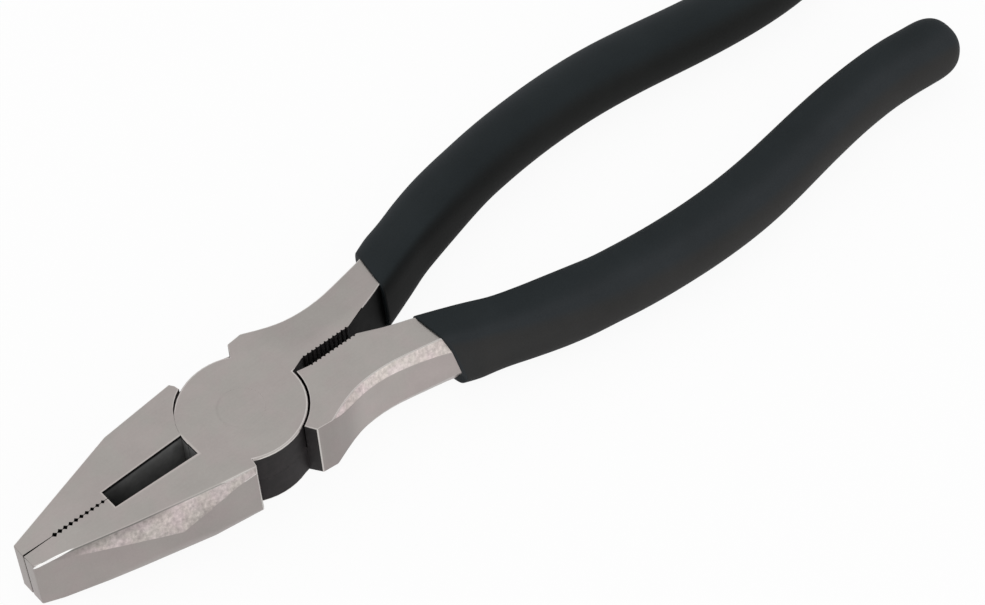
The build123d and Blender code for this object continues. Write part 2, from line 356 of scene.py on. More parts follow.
RIM_HIGHLIGHT_WIDTH = 0.35 * MM  # how far the painted highlight on the flats reaches beside the creases and the window
RIM_INSET = mm(0.05, 0.12)  # it begins this far inside the crease
RIM_NOSE = mm(-43, -38)  # and comes up between these
RIM_JOINT = mm(-8, -6)  # and dies out between these
WINDOW_RIM = (0.15 * MM, RIM_HIGHLIGHT_WIDTH + 0.2 * MM)  # it dies out this far from the window

NOSE_HIGHLIGHT = (mm(-45.6, 3.28), mm(-38.2, 4.42))  # ends of the painted highlight on a jaw's outer edge at the nose
NOSE_HIGHLIGHT_HALF = 0.22 * MM
NOSE_HIGHLIGHT_SOFT = 0.1 * MM
NOSE_HIGHLIGHT_WRAP = 0.76  # how fast the line moves down the jaw's side, against across its face
NOSE_HIGHLIGHT_DEPTH = mm(4.5, 5.5)
HIGHLIGHT_WHITE = (0.97, 0.96, 0.95, 1.0)

BEVEL_FADE = mm(-40, -31)  # the wide bevels' coarse grinding starts between these
BEVEL_RAGGED = 6 * MM  # how far patches move that start
CREASE_SHADE = 0.8 * MM  # how far the bevel is darker beside its crease
CREASE_DARK = (0.03, 0.03, 0.03, 1.0)
SHADE_NOSE = mm(-42, -36)  # that shade deepens between these
SHADE_JOINT = mm(-26, -17)  # and goes between these


def spread(tree, place, **ranges):
    """1 past every range and 0 before one; each is along an axis, in millimetres."""
    parts = dict(zip("xyz", tree.axes(place)))
    found = 1.0
    for axis, (begin, end) in ranges.items():
        found = parts[axis].ramp(begin * MM, end * MM) * found
    return found


def toned(tree, painted, factor):
    """A colour made lighter or darker by one factor."""
    grey = tree.node("ShaderNodeCombineColor", None, {0: factor, 1: factor, 2: factor})
    return tree.mix(1.0, painted, grey, "MULTIPLY")


def varied(tree, place, painted, tones):
    """A colour lighter or darker from place to place; a tone is a gain and the ranges it needs."""
    if not tones:
        return painted
    gains = sum(spread(tree, place, **ranges) * gain for gain, ranges in tones)
    return toned(tree, painted, gains + 1)


def between(tree, level, base, dark, light):
    """A colour from darker to lighter than its base, as a level goes from 0 to 1."""
    darker = tuple(c * dark for c in base)
    lighter = tuple(min(1.0, c * light) for c in base)
    return tree.mix(level, rgba(darker), rgba(lighter))


def tinted(tree, painted, patches, first, second):
    """A colour that leans to one tint or the other in patches."""
    return tree.mix(1.0, painted, tree.mix(patches, first, second), "MULTIPLY")


def stained(tree, place, painted):
    """A colour with soft stains that lean to grey-green or to pink."""
    return tinted(tree, painted, tree.noise(place, STAINS).ramp(*PATCHY), GREENISH, PINKISH)


def own_y(y, z):
    """The place across the tool as each face's own half sees it, for the same marks on both."""
    return y * ((z - JOINT_MID).maths("SIGN") * -1.0)


def rivet_ring(tree, place):
    """Faint broken line on one side of the flush rivet, where it meets the joint's face."""
    flat = tree.stretched(place, (1.0, 1.0, 0.0))
    off_line = (tree.vector("LENGTH", flat, output="Value") - RIVET_R).size()
    line = 1 - off_line.ramp(*RING_FADE)
    broken = tree.noise(place, RING_BREAKS, 1.0).ramp(*PATCHY)
    towards = tree.vector("DOT_PRODUCT", place, RING_SIDE, output="Value")
    return line * broken * towards.ramp(*RING_SHOWS)


def off_crease(x, y, z):
    """How far a place is outside the crease between a jaw's flat and its wide bevel."""
    own, furthest = own_y(y, z), -1.0
    for (x0, y0), (x1, y1) in zip(CREASE, CREASE[1:]):
        furthest = (own - (x - x0) * ((y1 - y0) / (x1 - x0)) - y0).largest(furthest)
    return furthest


def painted_rim_highlight(tree, place):
    """Thin painted highlight on the flats beside the crease and round the relief window."""
    x, y, z = tree.axes(place)
    inside = 0 - off_crease(x, y, z)
    begin, full = RIM_INSET
    beside = inside.ramp(begin, full) * (1 - inside.ramp(full, RIM_HIGHLIGHT_WIDTH + full))
    beside = beside * x.ramp(*RIM_NOSE) * (1 - x.ramp(*RIM_JOINT))
    (nose, nose_half), (joint, joint_half) = WINDOW_NOSE, WINDOW_JOINT
    widening = (x - nose) * ((joint_half - nose_half) / (joint - nose))
    across = (y + WINDOW_ASIDE).size() - widening - nose_half
    outside = across.largest((nose - x).largest(x - joint))
    return beside + (1 - outside.ramp(*WINDOW_RIM))


def painted_nose_highlight(tree, place):
    """Painted highlight along each jaw's outer edge at the nose, tapering at both ends."""
    x, y, z = tree.axes(place)
    (x0, y0), (x1, y1) = NOSE_HIGHLIGHT
    run = (x - x0) / (x1 - x0)
    depth = (z - JOINT_MID).size()
    across = own_y(y, z) + (HALF_THICK - depth) * NOSE_HIGHLIGHT_WRAP
    off_line = (across - (run * (y1 - y0) + y0)).size()
    widening = (run * 9.0).clamped().power(0.5)
    narrowing = ((1 - run) * 2.2).clamped().power(0.7)
    taper = widening * narrowing
    line = 1 - (off_line - taper * NOSE_HIGHLIGHT_HALF).ramp(0.0, NOSE_HIGHLIGHT_SOFT)
    return line * taper.ramp(0.0, 0.55) * depth.ramp(*NOSE_HIGHLIGHT_DEPTH)


def ground_material(name, base, roughness, streak_axis, cloud, tones=()):
    """Fine ground steel: hair streaks along one axis and soft clouds of a given strength."""
    material, tree = new_material(name)
    place = tree.place()
    scale = [HAIRS, HAIRS, HAIRS]
    scale[streak_axis] = HAIR_RUN
    streaks = tree.noise(tree.stretched(place, scale), 1.0, 4.0, 0.6)
    clouds = tree.noise(place, CLOUDS, 3.0, 0.6)
    grain = tree.noise(place, HAIRS)
    tone = (streaks - 0.5) * 0.22 + (clouds - 0.5) * cloud + (grain - 0.5) * 0.2
    # less the rivet's faint line, plus the painted rim highlight beside the creases and the window
    tone = tone - rivet_ring(tree, place) * 0.09 + painted_rim_highlight(tree, place) * 0.7
    painted = stained(tree, place, between(tree, (tone + 0.5).clamped(), base, 0.75, 1.25))
    painted = varied(tree, place, painted, tones)
    # a painted highlight on the jaws' outer edges at the nose; the edge is also made a little
    # smoother there
    nose_highlight = painted_nose_highlight(tree, place)
    painted = tree.mix(nose_highlight, painted, HIGHLIGHT_WHITE)
    rough = (streaks - 0.5) * 0.12 + (clouds - 0.5) * 0.08 + roughness - nose_highlight * 0.15
    skin_material(tree, painted, rough, (streaks * 0.6 + grain * 0.4, 0.2, FINE_BUMP), METAL)
    return material


def bevel_material(name, base, plain, roughness, tones):
    """Coarser ground bevel: bright, speckled, with short cross strokes, plain at the nose."""
    material, tree = new_material(name)
    place = tree.place()
    x, y, z = tree.axes(place)
    turn = {"Vector": place, "Rotation": (0.0, 0.0, STROKE_TURN)}
    turned = tree.node("ShaderNodeMapping", None, turn)
    strokes = tree.noise(tree.stretched(turned, STROKES), 1.0, 3.0, 0.6)
    speckle = tree.noise(place, SPECKLE, 3.0, 0.65)
    patches = tree.noise(place, BEVEL_PATCHES)
    tone = (strokes - 0.5) * 0.9 + (speckle - 0.5) * 1.8 + (patches - 0.5) * 0.5
    bright = between(tree, (tone + 0.5).clamped(), base, 0.68, 1.35)
    bright = tinted(tree, bright, patches.ramp(0.4, 0.6), CREAMY, MAUVE)
    ground = (x + patches * BEVEL_RAGGED).ramp(*BEVEL_FADE)
    painted = stained(tree, place, tree.mix(ground, rgba(plain), bright))
    painted = varied(tree, place, painted, tones)
    shaded = (x.ramp(*SHADE_NOSE) * 0.25 + 0.15) * (1 - x.ramp(*SHADE_JOINT))
    beside = (1 - off_crease(x, y, z).ramp(0.0, CREASE_SHADE)) * shaded
    painted = tree.mix(beside, painted, CREASE_DARK)
    # the same painted highlight where it crosses the bevels at the nose
    painted = tree.mix(painted_nose_highlight(tree, place), painted, HIGHLIGHT_WHITE)
    bump = (strokes * 0.5 + speckle * 0.5, 0.4, COARSE_BUMP)
    skin_material(tree, painted, speckle * 0.2 + roughness, bump, METAL)
    return material


def oxide_material(name, base, uneven=0.27, gloss=0.14, rim=0.0, tones=()):
    """Black oxide skin, slightly uneven; a rim is how far below the flats it stays blackest."""
    material, tree = new_material(name)
    place = tree.place()
    clouds = tree.noise(place, OXIDE_CLOUDS, 3.0, 0.6)
    painted = between(tree, clouds.ramp(0.3, 0.7), base, 1 - uneven, 1 + uneven)
    painted = varied(tree, place, painted, tones)
    if rim:
        below = HALF_THICK - (tree.axes(place)[2] - JOINT_MID).size()
        painted = tree.mix(below.ramp(0.6 * rim, 1.4 * rim), BLACKEST, painted)
    bump = (clouds, 0.2, FINE_BUMP)
    skin_material(tree, painted, clouds * 0.2 + 0.45, bump, {"Specular IOR Level": gloss})
    return material


# ---------------- steel pieces
GROUND, BEVEL, WALL, OXIDE, NIP, WINDOW, EDGE, SHADE_LINE = range(8)  # material indices on a half
COPLANAR = math.radians(0.3)  # faces turned less than this from each other are one flat
SHARP = math.radians(24)  # edges sharper than this are broken
CREASED = math.radians(50)  # the halves' shading stays hard over edges sharper than this
JOINED = 0.001 * MM  # vertices nearer than this to each other are one
LAP_HALF = 0.08 * MM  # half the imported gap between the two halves' inner faces
HAIRLINE = 0.012 * MM
SEAM_OPENS = mm(6.3, 9.6)  # how far across the tool the seam round the disc opens
EDGE_FILLED = 0.9  # share of the disc's edge bevel that is filled where its seam is closed
ON_RING = 0.03 * MM  # vertices nearer than this to a circle are on it
ON_LEVEL = 0.01 * MM
HEAD_SPREAD = 0.03 * MM  # the hammered head fills its countersink

# how much of a face's normal points up or down
LEVEL = 0.98
OPEN_WINDOW = 0.9
INNER_WALL = 0.5
EDGE_BELOW_BEVEL = 0.45
SLOPED = 0.25
UPRIGHT = 0.2
EDGE_UPRIGHT = 0.12

# how much of it points along the tool, where it faces forwards
NOSE_END = -0.9
SHOULDER_FRONT = -0.6
SLEEVE_FRONT = -0.8


def add_object(name, data):
    """A new object in the scene."""
    made = bpy.data.objects.new(name, data)
    bpy.context.scene.collection.objects.link(made)
    return made


def whole_copy(node):
    """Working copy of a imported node, its triangles joined and its flat areas made whole."""
    work = bmesh.new()
    work.from_mesh(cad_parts[node].data)
    bmesh.ops.remove_doubles(work, verts=work.verts, dist=JOINED)
    bmesh.ops.dissolve_limit(work, angle_limit=COPLANAR, verts=work.verts, edges=work.edges)
    work.normal_update()
    return work


def mesh_of(work, name, creased):
    """Smooth mesh of a finished working copy, creased over edges sharper than an angle."""
    for face in work.faces:
        face.smooth = True
    for edge in work.edges:
        edge.smooth = edge.calc_face_angle(0.0) < creased
    mesh = bpy.data.meshes.new(name)
    work.to_mesh(mesh)
    work.free()
    return mesh


def within(value, limits):
    return limits[0] < value < limits[1]


def on_flats(centre):
    """True on the two flat faces and on the edges round them."""
    return abs(centre.z - JOINT_MID) > FLAT_DEPTH


def in_window(centre, normal):
    """True on the walls and floor of the relief window."""
    return within(centre.x, WINDOW_X) and abs(centre.y) < WINDOW_HALF and normal.z < OPEN_WINDOW


def on_bite(centre):
    """True on the gripping faces and in the grooves of the teeth."""
    return centre.x < 0 and abs(centre.y) < BITE_HALF


def faces_axis(centre, normal):
    """True on the handles' inner walls and in the nip between them."""
    reach = next(reach for end, reach in INNER_WALLS if centre.x < end)
    inward = normal.y * centre.y < 0 and abs(normal.z) < INNER_WALL
    return centre.x > 0 and abs(centre.y) < reach and inward


def finish_of(face):
    """Which finish a face of a half has, from where it lies and where it looks."""
    centre, normal = face.calc_center_median(), face.normal
    if abs(normal.z) > LEVEL:
        return GROUND if on_flats(centre) else OXIDE
    if normal.x < NOSE_END and centre.x < NOSE_X + NOSE_DEPTH:
        return WALL
    if in_window(centre, normal):
        return WINDOW
    if within(centre.x, NIP_X) and abs(centre.y) < NIP_HALF:
        return OXIDE
    if on_bite(centre) or faces_axis(centre, normal):
        return NIP
    round_disc = centre.xy.length < DISC_R + DISC_MARGIN
    on_shoulder = within(centre.x, SHOULDER_X) and normal.x < SHOULDER_FRONT
    if abs(normal.z) < UPRIGHT and (round_disc or on_shoulder):
        return OXIDE
    # each half has a wide bevel on its jaw and one on its handle, both towards its own face
    return BEVEL if abs(normal.z) > SLOPED and normal.z * centre.y < 0 else WALL


def breaks_edge(edge):
    """True for a sharp edge that is rounded: not the teeth's, the rivet's or a closed seam's."""
    if not edge.is_manifold or edge.calc_face_angle(0.0) < SHARP:
        return False
    for vert in edge.verts:
        x, y = vert.co.x, abs(vert.co.y)
        in_teeth = NOSE_X + NOSE_DEPTH < x < WINDOW_X[0] and y < TEETH_HALF
        if in_teeth or (within(x, NIP_EDGES_X) and y < NIP_EDGES_HALF):
            return False
    radius = max(vert.co.xy.length for vert in edge.verts)
    seam_closed = all(seam_share(vert.co) < 0.5 for vert in edge.verts)
    if radius < RIVET_R + RIVET_MARGIN or (radius < HOLLOW_R + HOLLOW_MARGIN and seam_closed):
        return False
    looks = {face.material_index for face in edge.link_faces}
    return not looks <= {OXIDE, NIP, WINDOW}


def edge_finish(face):
    """Finish of a rounded edge: bright along the flats, a painted highlight on the real rounding; a
    painted shade line above the jaws' bevels.
    """
    centre, normal = face.calc_center_median(), face.normal
    out = abs(centre.y)
    if abs(normal.z) < EDGE_UPRIGHT:
        on_shoulder = within(abs(centre.x), SHOULDER_EDGE_X) and out > SHOULDER_EDGE_OUT
        return EDGE if on_shoulder else WALL
    if not on_flats(centre):
        return WALL if out > WINDOW_HALF else WINDOW
    on_neck = centre.x > SHOULDER_EDGE_X[1] and out > NECK_SIDE
    if on_neck and abs(normal.z) < EDGE_BELOW_BEVEL:
        return WALL
    if centre.x < NOSE_X + NOSE_EDGE:
        return GROUND
    if WINDOW_X[0] - WINDOW_EDGE < centre.x < WINDOW_X[1] and out < WINDOW_HALF:
        return NIP
    # a painted shade line on the rounded edge above each jaw's wide bevel
    above_bevel = within(centre.x, SHADE_LINE_X) and centre.y * (centre.z - JOINT_MID) < 0
    if above_bevel and out > WINDOW_HALF and normal.y * centre.y > 0:
        return SHADE_LINE
    return EDGE


def seam_share(co):
    """How open the seam round the disc is: 0 beside the window, 1 at the shoulder and behind."""
    if co.x > 0:
        return 1.0
    begin, end = SEAM_OPENS
    return min(1.0, max(0.0, (abs(co.y) - begin) / (end - begin)))


def close_seams(work, body):
    """Closes the lap seam to a hairline, and the seam between jaw and disc beside the window."""
    own_side = 1.0 if body == "upper" else -1.0
    for vert in work.verts:
        radius = vert.co.xy.length
        off_middle = vert.co.z - JOINT_MID
        if abs(off_middle) < LAP_HALF:
            vert.co.z = JOINT_MID + math.copysign(HAIRLINE, off_middle)
        closed = 1.0 - seam_share(vert.co)
        if not closed:
            continue
        filled = DISC_EDGE * EDGE_FILLED * closed
        bevel_foot = abs(abs(off_middle) - (HALF_THICK - DISC_EDGE)) < ON_LEVEL
        if off_middle * own_side < 0 and abs(radius - HOLLOW_R) < ON_RING:
            vert.co.xy *= (radius - (HOLLOW_R - DISC_R - HAIRLINE) * closed) / radius
        elif off_middle * own_side > 0 and abs(radius - DISC_R + DISC_EDGE) < ON_RING:
            vert.co.xy *= (radius + filled) / radius
        elif bevel_foot and abs(radius - DISC_R) < ON_RING:
            vert.co.z += math.copysign(filled, off_middle)


def steel_piece(name, node, body, materials, edge_round):
    """Dressed copy of a steel node: finishes by face, edges broken, flats kept flat."""
    work = whole_copy(node)
    close_seams(work, body)
    for face in work.faces:
        face.material_index = finish_of(face)
    rounded = bmesh.ops.bevel(
        work, geom=[edge for edge in work.edges if breaks_edge(edge)], offset=edge_round,
        offset_type="OFFSET", segments=2, profile=0.5, affect="EDGES", clamp_overlap=False,
        material=EDGE, loop_slide=True,
    )
    work.normal_update()
    for face in rounded["faces"]:
        face.material_index = edge_finish(face)
    mesh = mesh_of(work, name, CREASED)
    for material in materials:
        mesh.materials.append(material)
    piece = add_object(name, mesh)
    weighted = piece.modifiers.new("Flat areas stay flat", "WEIGHTED_NORMAL")
    weighted.keep_sharp = True
    weighted.weight = 100
    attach(piece, body)
    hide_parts(node)


def steel_materials(settings):
    """The finishes of a half, in the order of their indices."""
    flat_tones = [
        (0.065, {"x": (-28, -44)}),  # paler towards the nose
        (-0.085, {"x": (9, 17), "y": (2, 5)}),  # duller on one handle
    ]
    wall_tones = [(-0.12, {"x": (5, 8)}), (0.29, {"x": (12, 18)})]
    bevel_tones = [(-0.14, {"x": (-20, -13)}), (0.27, {"x": (5, 8)}), (-0.09, {"x": (18, 30)})]
    # painted light in the window: its skin is lighter towards the joint end, where its walls are
    # shaded; it is also darker towards the nose end
    window_tones = [(-0.55, {"x": (-21, -27.5)}), (0.3, {"x": (-18, -13)})]
    # the painted shade line fades into the flats' colour towards the joint
    shade_line_tones = [(0.72, {"x": (-27, -17)})]
    rough, wall_rough = settings.roughness, settings.roughness + 0.04
    return [
        ground_material("Ground flats", settings.ground, rough, 0, 0.42, flat_tones),
        bevel_material("Ground bevels", settings.bevel, settings.wall, 0.34, bevel_tones),
        ground_material("Outer walls", settings.wall, wall_rough, 2, 0.44, wall_tones),
        oxide_material("Black oxide", settings.oxide),
        oxide_material("Nip skin", settings.nip, gloss=0.04),
        oxide_material("Window skin", settings.window, 0.12, rim=0.5 * MM, tones=window_tones),
        # real rounded edges, lightened in colour as a painted highlight
        ground_material("Broken edges", settings.edge, 0.3, 0, 0.1),
        ground_material("Painted shade line", settings.shade_line, 0.4, 0, 0.1, shade_line_tones),
    ]


class PLIERS_OT_halves(bpy.types.Operator):
    """Dress both forged halves: ground flats, speckled bevels, black recesses, broken edges"""

    bl_idname = "pliers.halves"
    bl_label = "Forged Halves"

    def execute(self, context):
        settings = context.scene.pliers_steel
        materials = steel_materials(settings)
        for body, node in HALVES.items():
            steel_piece(f"{body}_forging", node, body, materials, settings.edge_round)
        return {"FINISHED"}


class PLIERS_OT_rivet(bpy.types.Operator):
    """Dress the flush pivot rivet, ground off level with the joint's faces"""

    bl_idname = "pliers.rivet"
    bl_label = "Pivot Rivet"

    def execute(self, context):
        work = whole_copy(RIVET)
        for vert in work.verts:
            radius = vert.co.xy.length
            if radius > RIVET_R - ON_RING:
                vert.co.xy *= (RIVET_R + HEAD_SPREAD) / radius
        work.normal_update()
        mesh = mesh_of(work, "flush_rivet", SHARP)
        mesh.materials.append(bpy.data.materials["Ground flats"])
        piece = add_object("flush_rivet", mesh)
        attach(piece, "lower")
        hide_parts(RIVET)
        return {"FINISHED"}


# ---------------- dipped grips
UP = Vector((0.0, 0.0, 1.0))
STATION = 5 * MM  # between the measured sections of a sleeve
NEARBY = 1 * MM  # the run of a sleeve is measured this far to each side of a section
WELL_ASIDE = 60 * MM  # outside both sleeves
SKIN_REACH = 14 * MM  # outside a sleeve when measured from its middle
SKIN_SPARE = 0.04 * MM  # how much lower a sleeve is than its packed one
LAST_SECTION = 0.5 * MM  # from the last measured section to where the tip's rounding begins
TIP_LENGTH = 7.3 * MM
TIP_BLUNTNESS = 3.0
TIP_SPARE = 0.17 * MM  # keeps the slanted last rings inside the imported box
FRONT_DEPTH = 5 * MM  # a packed sleeve's leaning front edge is inside this
FRONT_REACH = 9 * MM  # how far back the front edge's lean and turn are felt
CROWDING = 0.97  # how closely the rings crowd at the lip and the tip, up to 1
UNDERNEATH = (0.6, 0.95)  # shares of the half height below the middle between which the dip runs on

# each sleeve's own, from dipping by hand
LIP_TURN = {"upper": math.radians(-3.0), "lower": math.radians(-2.6)}
LIP_LEAN = {"upper": math.radians(2.0), "lower": math.radians(-5.5)}
LIP_BACK = {"upper": 0.12 * MM, "lower": 0.29 * MM}
LIP_CURL = {"upper": 0.5 * MM, "lower": 0.8 * MM}  # how far the dip runs on underneath

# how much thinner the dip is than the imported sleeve, at distances along the tool, in millimetres
THINNER = {
    "upper": ((40.5, 0.0), (45, 0.26), (54, 0.16), (72, 0.2), (100, 0.1), (140, 0.1)),
    "lower": (
        (40.5, 0.0), (45, 0.36), (50, 0.3), (60, 0.0),
        (90, 0.0), (112, 0.12), (134, 0.1), (142, 0.0),
    ),
}

SLEEVE_INPUTS = {
    "Spine": "Geometry", "Around": "Int", "Along": "Int", "Lip Rounding": "Float",
    "Front Turn": "Float", "Front Lean": "Float", "Front Curl": "Float", "Front Reach": "Float",
    "Tip Length": "Float", "Tip Bluntness": "Float", "Dip": "Material",
}

# where the dip's painted light and shade change, by how far it faces away from the other handle,
# from -1 to 1
TO_TOP = (-1.0, -0.45)
TO_SHOULDER = (-0.15, 0.5)
TO_OUTER = (0.68, 1.0)
INNER_PALES = (42, 80)  # the inner flank's painted shade grows paler between these, along the tool, away from the lip
GRIP_PATCHES = 70.0  # per metre


def skin_tree(node):
    """Ray-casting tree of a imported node."""
    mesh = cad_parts[node].data
    return BVHTree.FromPolygons([v.co for v in mesh.vertices], [p.vertices for p in mesh.polygons])


def skin_distance(tree, centre, direction):
    """From a centre to the outer skin, found from outside because sleeves are hollow."""
    hit = tree.ray_cast(centre + direction * SKIN_REACH, -direction, SKIN_REACH)[0]
    if hit is None:
        raise RuntimeError(f"no skin found near {tuple(centre)}")
    return (hit - centre).length


def measure_section(tree, side, x, height):
    """Centre, half width, half height and squareness of a sleeve near x."""
    middles = []
    for place in (x - NEARBY, x + NEARBY):
        outside, axis = Vector((place, side * WELL_ASIDE, height)), Vector((place, 0.0, height))
        far = tree.ray_cast(outside, Vector((0.0, -side, 0.0)))[0]
        near = tree.ray_cast(axis, Vector((0.0, side, 0.0)))[0]
        middles.append((far + near) / 2)
    along = (middles[1] - middles[0]).normalized()
    across = along.cross(UP)
    centre = (middles[0] + middles[1]) / 2
    right, left = skin_distance(tree, centre, across), skin_distance(tree, centre, -across)
    centre += across * (right - left) / 2
    above, below = skin_distance(tree, centre, UP), skin_distance(tree, centre, -UP)
    centre += UP * (above - below) / 2
    half_width, half_height = (right + left) / 2, (above + below) / 2 - SKIN_SPARE
    shares = []
    for sign in (-1, 1):
        corner = across * half_width * sign + UP * half_height
        shares.append(skin_distance(tree, centre, corner.normalized()) / corner.length)
    squareness = -math.log(2) / math.log(sum(shares) / 2)
    return [*centre, half_width, half_height, squareness]


def thinned(row, places):
    """A section less the thickness that its sleeve lacks there."""
    x = row[0] / MM
    (x0, less), *rest = places
    for x1, after in rest:
        less += (after - less) * min(1.0, max(0.0, (x - x0) / (x1 - x0)))
        x0 = x1
    return [*row[:3], row[3] - less * MM, row[4] - less * MM, row[5]]


def measure_sleeve(node, back, places):
    """Sections of a packed sleeve from its front edge, set back a little, to its tip."""
    tree = skin_tree(node)
    low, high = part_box(node)
    side = 1.0 if high.y > 0 else -1.0
    height = (low.z + high.z) / 2
    front, normal = front_plane(node)
    front.x += back
    last = high.x - TIP_LENGTH - LAST_SECTION
    count = round((last - front.x) / STATION)
    step = (last - front.x) / count
    rows = [measure_section(tree, side, front.x + step * (k + 1), height) for k in range(count)]
    # the front edge leans, so the section there carries on from the first three
    first = [3 * a - 3 * b + c for a, b, c in zip(*rows[:3])]
    run = Vector(rows[-1][:3]) - Vector(rows[-2][:3])
    tip = Vector(rows[-1][:3]) + run * (high.x - TIP_SPARE - rows[-1][0]) / run.x
    end = [*tip, *rows[-1][3:]]
    return [thinned(row, places) for row in (first, *rows, end)], normal


def front_plane(node):
    """Centre and normal of a sleeve's leaning front edge."""
    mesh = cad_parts[node].data
    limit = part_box(node)[0].x + FRONT_DEPTH
    faces = [p for p in mesh.polygons if p.normal.x < SLEEVE_FRONT and p.center.x < limit]
    area = sum(p.area for p in faces)
    if not area:
        raise RuntimeError(f"{node} has no front edge")
    normal = sum((p.normal * p.area for p in faces), Vector()) / area
    centre = sum((p.center * p.area for p in faces), Vector()) / area
    return centre, normal.normalized()


def spine_object(name, rows):
    """Open line of a sleeve's centres; each point carries its section as a vector."""
    mesh = bpy.data.meshes.new(name)
    edges = [(k, k + 1) for k in range(len(rows) - 1)]
    mesh.from_pydata([row[:3] for row in rows], edges, [])
    sections = mesh.attributes.new("section", "FLOAT_VECTOR", "POINT")
    for item, row in zip(sections.data, rows):
        item.vector = row[3:]
    return add_object(name, mesh)


def sleeve_tree():
    """Geometry nodes that sweep rounded-square sections along a spine and close both ends."""
    group = bpy.data.node_groups.new("Dipped sleeve", "GeometryNodeTree")
    for name, kind in SLEEVE_INPUTS.items():
        group.interface.new_socket(name, in_out="INPUT", socket_type=f"NodeSocket{kind}")
    group.interface.new_socket("Sleeve", in_out="OUTPUT", socket_type="NodeSocketGeometry")
    tree = Tree(group)
    spine = tree.node("NodeGroupInput")
    given = {name: tree.other(spine, name) for name in SLEEVE_INPUTS}

    line = tree.node("GeometryNodeMeshToCurve", None, {"Mesh": given["Spine"]})
    smooth = {"spline_type": "CATMULL_ROM"}
    line = tree.node("GeometryNodeCurveSplineType", smooth, {"Curve": line})
    line = tree.node("GeometryNodeSetSplineResolution", None, {"Geometry": line, "Resolution": 16})
    whole = tree.node("GeometryNodeCurveLength", None, {"Curve": line})

    counts = {"Vertices X": given["Along"] + 1, "Vertices Y": given["Around"] + 1}
    grid = tree.node("GeometryNodeMeshGrid", None, {"Size X": 1.0, "Size Y": 1.0, **counts})
    x, y, _ = tree.axes(tree.node("GeometryNodeInputPosition"))
    row = ((x + 0.5) * given["Along"]).maths("ROUND")
    turn = (y + 0.5) * math.tau

    # the first row closes the front; the rest run from the lip to the tip and crowd at both
    share_along = ((row - 1.0) / (given["Along"] - 1.0)).largest(0.0)
    crowded = share_along - (share_along * math.tau).maths("SINE") * (CROWDING / math.tau)
    vectors = {"data_type": "FLOAT_VECTOR"}
    section = tree.node("GeometryNodeInputNamedAttribute", vectors, {"Name": "section"})
    settings = {"mode": "FACTOR", "use_all_curves": True, **vectors}
    sockets = {"Curves": line, "Factor": crowded, "Value": section}
    sample = tree.node("GeometryNodeSampleCurve", settings, sockets, "Position")
    half_width, half_height, squareness = tree.axes(tree.other(sample, "Value"))
    forward = tree.other(sample, "Tangent")
    across = tree.vector("CROSS_PRODUCT", forward, tuple(UP))

    from_front = crowded * whole
    from_tip = whole - from_front
    lip = given["Lip Rounding"]
    inside = (lip - from_front).largest(0.0)
    drawn = lip - (lip * lip - inside * inside).maths("SQRT")
    nearness = (1 - from_tip / given["Tip Length"]).largest(0.0)
    bluntness = given["Tip Bluntness"]
    blunt = (1 - nearness.power(bluntness)).largest(0.0).power(1 / bluntness)
    kept = blunt * row.maths("GREATER_THAN", 0.5)

    exponent = 2.0 / squareness
    lateral = turn.maths("COSINE").signed_power(exponent) * (half_width - drawn) * kept
    upward = turn.maths("SINE").signed_power(exponent) * (half_height - drawn) * kept
    fade = 1 - from_front.ramp(0.0, given["Front Reach"])
    underneath = (0 - upward / half_height).ramp(*UNDERNEATH)
    leaning = lateral * given["Front Turn"] + upward * given["Front Lean"]
    ahead = (leaning - underneath * given["Front Curl"]) * fade
    moved = tree.vector("ADD", sample, tree.vector("SCALE", across, scale=lateral))
    moved = tree.vector("ADD", moved, tree.vector("SCALE", forward, scale=ahead))
    moved = tree.vector("ADD", moved, tree.node("ShaderNodeCombineXYZ", None, {"Z": upward}))

    skin = tree.node("GeometryNodeSetPosition", None, {"Geometry": grid, "Position": moved})
    join = {"Geometry": skin, "Distance": 0.0005 * MM}
    skin = tree.node("GeometryNodeMergeByDistance", None, join)
    smooth = {"Geometry": skin, "Shade Smooth": True}
    skin = tree.node("GeometryNodeSetShadeSmooth", None, smooth)
    skin = tree.node("GeometryNodeRealizeInstances", None, {"Geometry": skin})
    dipped = {"Geometry": skin, "Material": given["Dip"]}
    skin = tree.node("GeometryNodeSetMaterial", None, dipped)
    tree.node("NodeGroupOutput", None, {"Sleeve": skin})
    return group


def plain_mesh(source, name):
    """Mesh object of what a modifier makes, without the modifier."""
    graph = bpy.context.evaluated_depsgraph_get()
    mesh = bpy.data.meshes.new_from_object(source.evaluated_get(graph), depsgraph=graph)
    mesh.name = name
    bpy.data.objects.remove(source)
    return add_object(name, mesh)


def make_sleeve(body, node, group, material, settings):
    """One sleeve swept over its packed grip, with its lip turned, leaned and curled its own way."""
    rows, normal = measure_sleeve(node, LIP_BACK[body], THINNER[body])
    spine = spine_object(f"{node}_spine", rows)
    normal.rotate(Matrix.Rotation(LIP_TURN[body], 3, "Z") @ Matrix.Rotation(LIP_LEAN[body], 3, "Y"))
    forward = (Vector(rows[1][:3]) - Vector(rows[0][:3])).normalized()
    across = forward.cross(UP)
    values = {
        "Around": settings.around,
        "Along": settings.along,
        "Lip Rounding": settings.lip_round,
        "Front Turn": -normal.dot(across) / normal.dot(forward),
        "Front Lean": -normal.dot(UP) / normal.dot(forward),
        "Front Curl": LIP_CURL[body],
        "Front Reach": FRONT_REACH,
        "Tip Length": TIP_LENGTH,
        "Tip Bluntness": TIP_BLUNTNESS,
        "Dip": material,
    }
    sweep = spine.modifiers.new("Sweep", "NODES")
    sweep.node_group = group
    for item in group.interface.items_tree:
        if item.in_out == "INPUT" and item.name in values:
            sweep[item.identifier] = values[item.name]
    piece = plain_mesh(spine, f"{body}_sleeve")
    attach(piece, body)
    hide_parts(node)


